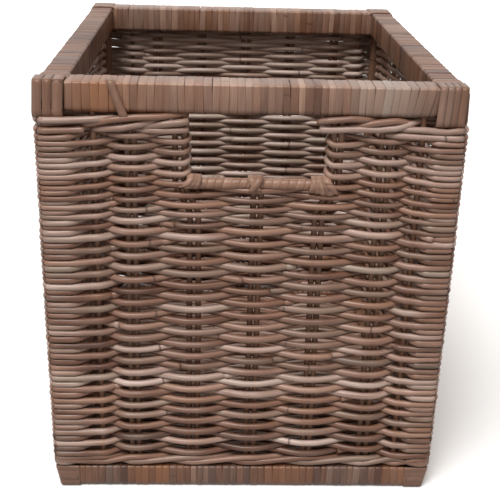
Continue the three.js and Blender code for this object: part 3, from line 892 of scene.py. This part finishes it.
# ---- Foot band
# A band of three strands at the foot of the weaving. Each strand goes over two stakes and under one, rising
# as it goes, so that the three look twisted together.
foot_band, foot_spread, foot_radius, foot_grain_apart = 24.6, 4.7, 2.6, 700.0
foot_rises = (-0.5, 0.5, 0.0)
foot_lays = (-0.4, 1.8, -2.4)
foot_tones = [(0.38 + draw.normal(0, 0.06), draw.normal(0.05, 0.12)) for strand in range(3)]
for wall_name, wall in walls.items():
    count = len(wall["stakes"])
    places = [-wall["straight"]] + [stake["foot"] for stake in wall["stakes"]] + [wall["straight"]]
    holds = between_posts(wall, 4.0, 3.0, 0.6)
    bend = corner_depth(foot_band)
    strands = []
    for strand, (tone, warmth) in enumerate(foot_tones):
        phases = [(wall["first"] + index + strand) % 3 for index in range(count + 1)]
        depths = [wall_middle + (swing if phase == 2 else -swing) for phase in phases[:count]]
        lifts = [foot_lays[phases[0]]] + [foot_spread * foot_rises[phase] for phase in phases[:count]]
        heights = [foot_band + lift for lift in lifts + [foot_lays[phases[count]]]]
        keys = (places, holds, holds, [bend] + depths + [bend], heights)
        strands.append(lay_strand(wall, wall_stations(wall), keys, foot_radius, tone, warmth,
                                  wall["start"] + strand * foot_grain_apart))
    add_piece(f"foot_band_{wall_name}", strands, "rattan_strand")


# ---- Head band
# Beside the hand hole the top of the front wall is a loose band: thick strands climb over one another from
# stake to stake and dive behind the next, and at the corners they go on as the top rows of the side walls.
front = walls["front"]
turn_in, edge = front["straight"], front["half"] + 1.5
lay = corner_depth(318.0)
band_courses = (
    ((-edge, lay, 321.3), (-turn_in, lay, 321.3), (-130, 0.2, 321.6), (-116, 0.8, 322.2), (-104, 4.5, 322.7),
     (-92, 12, 322.8), (-76, 12, 322.0)),
    ((-edge, lay, 313.4), (-turn_in, lay, 313.4), (-135, 0.5, 313.7), (-123.5, 1.0, 314.2)),
    ((-edge, lay + 4, 317.3), (-turn_in, lay + 4, 317.3), (-140, 6, 317.2), (-130, 12, 317.0),
     (-118, 12, 318.0)),
    ((-130, 7, 316.4), (-123, 2.6, 318.0), (-105, 0.4, 322.3), (-87, 0.2, 324.4), (-69, 1.2, 324.9),
     (-57, 4.5, 325.6), (-47, 11, 325.0)),
    ((-122, 8, 313.4), (-114, 3.6, 314.4), (-98, 1.2, 315.9), (-84, 1.8, 318.8), (-73, 5, 320.9),
     (-62, 12, 322.0)),
    ((-88, 9, 315.6), (-80, 4.2, 316.9), (-66, 1.6, 319.2), (-53, 1.6, 320.6), (-46, 3.5, 321.5)),
    ((-90, 9, 313.4), (-82, 4.5, 313.9), (-68, 2.4, 314.0), (-53, 2.4, 314.6), (-46, 4.0, 315.0)),
    ((46, 5.0, 322.0), (57.9, 1.6, 324.3), (74, 0.4, 326.0), (86, 2.4, 325.2), (97, 10, 324.4),
     (106, 12, 324.0)),
    ((70, 9, 318.8), (80.6, 3.2, 320.3), (93.3, 0.8, 323.2), (107.5, 0.8, 325.0), (116, 3.8, 323.2),
     (125, 11, 321.8), (136, 11, 321.5), (turn_in, lay + 5, 323.0), (edge, lay + 5, 323.0)),
    ((48, 5.0, 316.5), (60, 2.5, 316.8), (74, 2.5, 317.8), (93.7, 1.6, 318.0), (107.5, 0.8, 319.5),
     (117.8, 2.8, 322.0), (126, 9, 323.2), (134, 12, 323.4)),
    ((106, 8, 318.0), (116, 2.2, 318.1), (129.5, 0.0, 318.6), (146, lay + 0.6, 317.4), (turn_in, lay, 318.6),
     (edge, lay, 318.8)),
    ((99, 8, 312.6), (109, 2.4, 313.2), (129.5, 0.4, 313.0), (turn_in, lay, 312.9), (edge, lay, 312.9)),
    ((-146, 10, 325.0), (-129, 12.5, 325.4), (-92, 12.5, 325.6), (-50, 12.5, 325.4)),
    ((-146, 12.5, 320.0), (-129, 12.5, 319.4), (-92, 12.8, 317.0), (-50, 12.5, 317.5)),
    ((50, 12.5, 325.4), (92, 12.5, 325.6), (129, 12.5, 325.6), (146, 10, 325.4)),
    ((50, 12.5, 318.4), (92, 12.8, 319.4), (129, 12.5, 316.0), (146, 12, 317.0)),
)
strands = []
for course in band_courses:
    stops = np.array(course, float)
    count = int(np.ptp(stops[:, 0]) / 3.0) + 6
    path = round_corner(front, *follow(stops, count).T)
    strands.append(strand_tube(path, 2.65 + draw.normal(0, 0.1), 0.58 + draw.normal(0, 0.12),
                               draw.normal(0.05, 0.25), draw.uniform(0, 900)))
add_piece("head_band_front", strands, "rattan_strand")


# ---- Hand hole bar, its winding and lashings
# A round rod between the leaning pairs at the foot of the hand hole, wound in one unbroken length with a
# flat strip of peel, and lashed with more strips to the stakes at both ends and to the pair under its middle.
bar_low, bar_high, bar_middle = node_box("handle_bar")
bar_radius, bar_sides, bar_drop, bar_forward = 2.7, 16, 2.2, 1.8
bar_height = bar_middle[2] - bar_drop
bar_depth = wall_middle - bar_forward
bar_path = on_wall(front, stations(bar_low[0], bar_high[0]), bar_depth, bar_height)
bar = round_rod(bar_path, bar_radius, bar_sides, upright, 0.45, 0.0)
add_piece("bar_rod", [bar], "rattan_rod", "handle_bar")

wrap_low, wrap_high = node_box("handle_bar_wrap")[:2]
strip_width, strip_turns, strip_thickness, bar_outer = 6.6, 15, 1.3, 4.5
steps_a_turn, strip_a_turn = 18, 27.0
turn = np.linspace(0, strip_turns, strip_turns * steps_a_turn + 1)
sin, cos = np.sin(turn * 2 * np.pi), np.cos(turn * 2 * np.pi)
run = np.linspace(wrap_low[0] + strip_width / 2, wrap_high[0] - strip_width / 2, len(turn))
path = on_wall(front, run, bar_depth + bar_outer * sin, bar_height + bar_outer * cos)
outward, sideways = in_space(0.0, sin, cos), towards(front, 1.0, 0.0, 0.0)
tones = 0.66 + 0.10 * np.sin(turn * 2.1)
strip = peel_strip(path, outward, sideways, strip_width, tones, 0.2, turn * strip_a_turn, strip_thickness)
add_piece("bar_winding", [strip], "rattan_peel", "handle_bar_wrap")

lashing_width = 6.2
lashing_ends = (
    (49.0, 47.5, 3.5), (51.5, 52.0, 5.0), (54.0, 56.5, 6.0), (56.0, 60.5, 6.5), (58.0, 64.0, 5.5),
    (0.5, 5.0, 4.0), (6.0, 1.0, 4.5), (-41.0, -43.5, 2.5), (-43.5, -48.0, 2.5), (-46.0, -52.5, 1.5),
)
lashings = []
for order, (top_x, foot_x, drop) in enumerate(lashing_ends):
    over = 0.3 * (order % 5)
    lashings.append(strap_on_wall(front, [
        (top_x, 5.0, 1.0), (top_x, 2.5, 5.0), (top_x, -1.5, 5.4 + over), (top_x, -4.2 - over, 4.0),
        ((top_x + foot_x) / 2, -5.8 - over, 0.6), (foot_x, -5.0, 0.6 - drop), (foot_x, 1.0, -0.9 - drop),
    ], lashing_width, 0.66 + draw.normal(0, 0.07), 0.12, 30, start=(0.0, bar_depth, bar_height)))
add_piece("bar_lashings", lashings, "rattan_peel")


# ---- Base
# Strands from side to side over and under three ribs. The ribs are round rods that stand between the front
# and back bottom rails, with their ends in them.
rib_places = []
for rib_name in ("left", "middle", "right"):
    low, high, middle = node_box(f"base_rib_{rib_name}")
    rib_places.append(middle[0])
    run = stations(low[1], high[1], 8.0)
    path = in_space(middle[0], run, middle[2])
    rib = round_rod(path, rod_radius, rod_sides, upright, draw.normal(0.45, 0.1), 0.0, draw.uniform(0, 900))
    add_piece(f"base_rod_{rib_name}", [rib], "rattan_rod", f"base_rib_{rib_name}")

base_radius, base_pitch, base_end = 2.45, 4.5, 137.0
base_low, base_high, base_middle = node_box("weave_base")
base_rows = int((base_high[1] - base_low[1]) / base_pitch)
places = [-base_end] + rib_places + [base_end]
run = stations(base_low[0], base_high[0], base_pitch)
base_strands = []
for row, y in enumerate(np.linspace(base_low[1] + 2.4, base_high[1] - 2.4, base_rows)):
    over = swing * (-1) ** row
    depth = keyed(run, places, [0.0, 1.0, 1.0, 1.0, 0.0], [0.0, -over, over, -over, 0.0])
    path = in_space(run, y, base_middle[2] + depth)
    base_strands.append(round_rod(path, base_radius, strand_sides, upright, draw.normal(0.5, 0.15),
                                  draw.normal(0, 0.3), draw.uniform(0, 900)))
add_piece("woven_base", base_strands, "rattan_strand", "weave_base")
